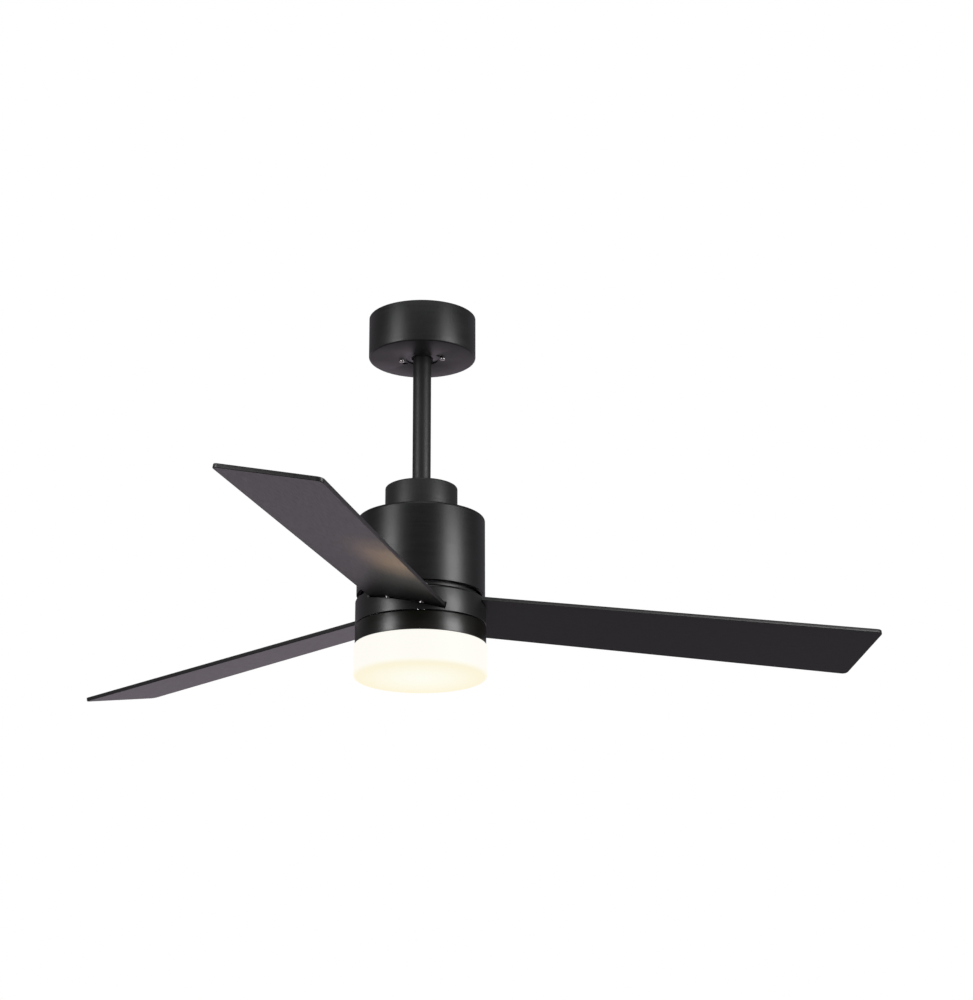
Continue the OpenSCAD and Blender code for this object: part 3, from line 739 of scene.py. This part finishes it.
def make_light_pan():
    r = radius("light_pan")
    high = top("light_pan")
    low = bottom("light_pan")
    wall = 0.00185
    hole = 0.0086
    pan = turned("light_band", [
        (hole, high, 0.0003), (r, high, 0.002), (r, low, 0.0005), (r - wall, low, 0.0004),
        (r - wall, high - wall, 0.001), (hole, high - wall, 0.0003),
    ])
    for side in (0, 120, 240):
        tab = turned("shade_tab", [
            (PAN_TAB_INNER, low + 0.0012), (r - wall + 0.0003, low + 0.0012),
            (r - wall + 0.0003, low + 0.0027), (PAN_TAB_INNER, low + 0.0027),
        ])
        keep_between(tab, side - PAN_TAB_HALF_TURN, side + PAN_TAB_HALF_TURN)
        fuse(pan, tab)
        at = turned_point(side + 60, PAN_SCREW_AT)
        drill(pan, at.x, at.y, high - 0.004, high + 0.002, CLEARANCE_HOLE_R, 24)
    smooth(pan)
    return finish_piece(pan, "hanging_frame", FINISHES["black_gloss_metal"],
                        "black_gloss_metal", "light_pan")


def make_shade():
    r = radius("shade")
    low = bottom("shade")
    shoulder = bottom("light_pan") - 0.0003
    neck = 0.0825
    wall = 0.0025
    shade = turned("opal_bowl", [
        (0, low), (r, low, 0.004), (r, shoulder, 0.0025), (neck, shoulder, 0.0003),
        (neck, top("shade"), 0.0005), (neck - 0.002, top("shade"), 0.0005),
        (neck - 0.002, shoulder - wall, 0.001), (r - wall, shoulder - wall, 0.0015),
        (r - wall, low + wall, 0.0015), (0, low + wall),
    ], closed=False)
    return finish_piece(shade, "light_shade", FINISHES["opal"], "opal", "shade")


def make_blade(index):
    """A board that widens to a square tip, with softly rounded corners and edges."""
    reach = math.sqrt(radius_of_sweep() ** 2 - (BLADE_TIP_WIDTH / 2) ** 2)
    tip_x = reach / math.cos(math.radians(BLADE_DROOP))
    grow = (BLADE_TIP_WIDTH - BLADE_ROOT_WIDTH) / 2 / (tip_x - radius("hub_ring"))
    root_half = BLADE_ROOT_WIDTH / 2 - grow * (radius("hub_ring") - BLADE_INNER_END)
    blade = box_piece(f"blade_board_{index + 1}",
                      (BLADE_INNER_END, -root_half, -BLADE_THICKNESS / 2),
                      (tip_x, root_half, BLADE_THICKNESS / 2))
    in_edit(blade)
    pick_verts(blade, lambda co: co.x > tip_x - 0.001)
    bpy.ops.transform.resize(value=(1, BLADE_TIP_WIDTH / 2 / root_half, 1))
    pick_edges(blade, lambda e: all(v.co.x > tip_x - 0.001 for v in e.verts)
               and abs(e.verts[0].co.z - e.verts[1].co.z) > 0.001)
    bpy.ops.mesh.bevel(offset=BLADE_TIP_ROUND, segments=10, profile=0.5)
    pick_edges(blade, lambda e: abs(e.verts[0].co.z - e.verts[1].co.z) < 1e-6)
    bpy.ops.mesh.bevel(offset=BLADE_EDGE_ROUND, segments=3, profile=0.5)
    out_of_edit()
    lay_grain(blade)
    smooth(blade, 40)
    flatten_wide_faces(blade, WIDE_FACE_AREA)
    place(blade, blade_place(index))
    return finish_piece(blade, "rotor", FINISHES["blade_board"], "blade_board",
                        f"blade_{index + 1}")


def radius_of_sweep():
    corners = frame["nodes"]["blade_1"].data.vertices
    return max(math.hypot(corner.co.x, corner.co.y) for corner in corners)


def lay_grain(blade):
    """UV map in metres, U along the blade and V across it."""
    layers = blade.data.uv_layers
    layer = layers[0] if layers else layers.new(name="along")
    for loop in blade.data.loops:
        spot = blade.data.vertices[loop.vertex_index].co
        layer.data[loop.index].uv = (spot.x, spot.y + spot.z)


# ---------- studio ----------

CAMERA_DISTANCE = 3.4984
CAMERA_AZIMUTH = -79.53
CAMERA_BELOW = 15.37
CAMERA_HEADING = 8.94
CAMERA_TILT = 17.867
CAMERA_LENS = 92.23
CAMERA_ROLL = 0.12
GLOW_SPOTS = ((0.26, 15), (0.31, 19), (0.36, 8))  # distance along the blade, watts
GLOW_ACROSS = 0.052
GLOW_BELOW = 0.3
GLOW_CONE = 22
FLOOR_BOUNCE = (0.19, 0.177, 0.193, 1)
ROOM_FILL = (0.05, 0.052, 0.054, 1)
BOUNCE_FADES = (6, 24)
BACK_WALL_SPREAD = (0.15, 0.6)
FLOOR_LEVEL = -2.4
FLOOR_SIZE = 90
AIM = (0, 0, -0.4)
WHITE = (1, 1, 1)

# Name, turn from the camera's side, distance, height, size, watts and colour.
SOFT_BOXES = (
    ("left_box", -55, 3.0, -0.1, (0.95, 1.3), 37, WHITE),
    ("right_box", 57, 3.0, -0.1, (1.4, 1.3), 55, WHITE),
    ("high_left_box", -54, 3.0, 1.25, (1.2, 0.7), 12, WHITE),
    ("high_right_box", 52, 3.0, 1.25, (1.0, 0.7), 8, WHITE),
    ("top_box", 0, 1.5, 2.6, (2.5, 2.5), 24, WHITE),
    ("back_card", 180, 8.0, -1.15, (16, 4.5), 105, (1.0, 0.86, 1.0)),
)


def make_camera():
    below = math.radians(CAMERA_BELOW)
    azimuth = math.radians(CAMERA_AZIMUTH)
    reach = CAMERA_DISTANCE * math.cos(below)
    data = bpy.data.cameras.new("studio_camera")
    data.lens = CAMERA_LENS
    data.clip_end = 60
    camera = bpy.data.objects.new("studio_camera", data)
    bpy.context.collection.objects.link(camera)
    camera.location = (reach * math.cos(azimuth), reach * math.sin(azimuth),
                       BLADE_LEVEL - CAMERA_DISTANCE * math.sin(below))
    camera.rotation_euler = (math.radians(90 + CAMERA_TILT), 0, math.radians(CAMERA_HEADING))
    camera.rotation_euler.rotate_axis("Z", math.radians(-CAMERA_ROLL))
    bpy.context.scene.camera = camera


def soft_light(name, turn, distance, height, size, power, colour):
    """A soft box that faces the motor, turned round the fan from the camera's side."""
    azimuth = math.radians(CAMERA_AZIMUTH + turn)
    spot = Vector((distance * math.cos(azimuth), distance * math.sin(azimuth), height))
    data = bpy.data.lights.new(name, "AREA")
    data.shape = "RECTANGLE"
    data.size, data.size_y = size
    data.energy = power
    data.color = colour
    light = bpy.data.objects.new(name, data)
    bpy.context.collection.objects.link(light)
    light.location = spot
    aim = Vector(AIM) - spot
    light.rotation_euler = aim.to_track_quat("-Z", "Y").to_euler()
    light.visible_camera = False


def blade_glow():
    """Small warm lamps that stand in for the glow of the lit shade along one blade's root."""
    for along, power in GLOW_SPOTS:
        data = bpy.data.lights.new("blade_glow", "SPOT")
        data.energy = power
        data.color = (1.0, 0.64, 0.36)
        data.shadow_soft_size = 0.02
        data.spot_size = math.radians(GLOW_CONE)
        data.spot_blend = 1.0
        lamp = bpy.data.objects.new("blade_glow", data)
        bpy.context.collection.objects.link(lamp)
        lit = blade_place(2) @ Vector((along, GLOW_ACROSS, 0))
        lamp.location = blade_place(2) @ Vector((along, GLOW_ACROSS, -GLOW_BELOW))
        lamp.rotation_euler = (lit - lamp.location).to_track_quat("-Z", "Y").to_euler()
        lamp.visible_camera = False


def eased(tree, source, low, high, start, end):
    """Goes smoothly from start to end while the source goes from low to high."""
    step = tree.nodes.new("ShaderNodeMapRange")
    step.interpolation_type = "SMOOTHSTEP"
    for name, value in (("From Min", low), ("From Max", high), ("To Min", start), ("To Max", end)):
        step.inputs[name].default_value = value
    tree.links.new(source, step.inputs["Value"])
    return step.outputs["Result"]


def studio_world():
    """White to the camera. It lights more from below and behind, like a pale floor and wall."""
    world = bpy.data.worlds.new("white_studio")
    bpy.context.scene.world = world
    world.use_nodes = True
    tree = world.node_tree
    tree.nodes.clear()
    out = tree.nodes.new("ShaderNodeOutputWorld")
    seen = tree.nodes.new("ShaderNodeBackground")
    seen.inputs["Color"].default_value = (1, 1, 1, 1)
    heading = tree.nodes.new("ShaderNodeTexCoord")
    parts = tree.nodes.new("ShaderNodeSeparateXYZ")
    tree.links.new(heading.outputs["Generated"], parts.inputs["Vector"])
    low, high = (math.sin(math.radians(angle)) for angle in BOUNCE_FADES)
    rise = eased(tree, parts.outputs["Z"], low, high, 0, 1)
    behind = math.radians(CAMERA_AZIMUTH + 180)
    facing = tree.nodes.new("ShaderNodeVectorMath")
    facing.operation = "DOT_PRODUCT"
    facing.inputs[1].default_value = (math.cos(behind), math.sin(behind), 0)
    tree.links.new(heading.outputs["Generated"], facing.inputs[0])
    open_side = eased(tree, facing.outputs["Value"], *BACK_WALL_SPREAD, 1, 0)
    dim = tree.nodes.new("ShaderNodeMath")
    dim.operation = "MULTIPLY"
    tree.links.new(rise, dim.inputs[0])
    tree.links.new(open_side, dim.inputs[1])
    shade = tree.nodes.new("ShaderNodeMix")
    shade.data_type = "RGBA"
    tree.links.new(dim.outputs["Value"], shade.inputs["Factor"])
    shade.inputs[6].default_value = FLOOR_BOUNCE
    shade.inputs[7].default_value = ROOM_FILL
    lit = tree.nodes.new("ShaderNodeBackground")
    tree.links.new(shade.outputs[2], lit.inputs["Color"])
    path = tree.nodes.new("ShaderNodeLightPath")
    mix = tree.nodes.new("ShaderNodeMixShader")
    tree.links.new(path.outputs["Is Camera Ray"], mix.inputs[0])
    tree.links.new(lit.outputs[0], mix.inputs[1])
    tree.links.new(seen.outputs[0], mix.inputs[2])
    tree.links.new(mix.outputs[0], out.inputs["Surface"])


def make_studio():
    bpy.context.scene.view_settings.view_transform = "Standard"
    studio_world()
    for box in SOFT_BOXES:
        soft_light(*box)
    blade_glow()


def make_floor():
    material = new_material("pale_floor", (0.3, 0.3, 0.3), 0.6)
    shader = shader_of(material)
    tone = ramp(material, pattern(material, Scale=2, Detail=2).outputs["Fac"],
                [(0.3, (0.76, 0.76, 0.77)), (0.7, (0.79, 0.79, 0.8))])
    link(material, tone.outputs["Color"], shader.inputs["Emission Color"])
    shader.inputs["Emission Strength"].default_value = 1.0
    start_piece()
    bpy.ops.mesh.primitive_plane_add(size=FLOOR_SIZE, location=(0, 0, FLOOR_LEVEL))
    floor = bpy.context.object
    floor.name = "floor"
    floor.data.materials.append(material)
    floor.visible_glossy = False
    floor.visible_diffuse = False
    floor.visible_shadow = False


finish_cad_nodes()
make_camera()
make_studio()
make_floor()
make_canopy()
make_canopy_screws()
make_bracket()
make_downrod()
make_coupling_cover()
make_motor_housing()
make_hub_ring()
make_light_pan()
make_shade()
for number in range(3):
    make_blade(number)
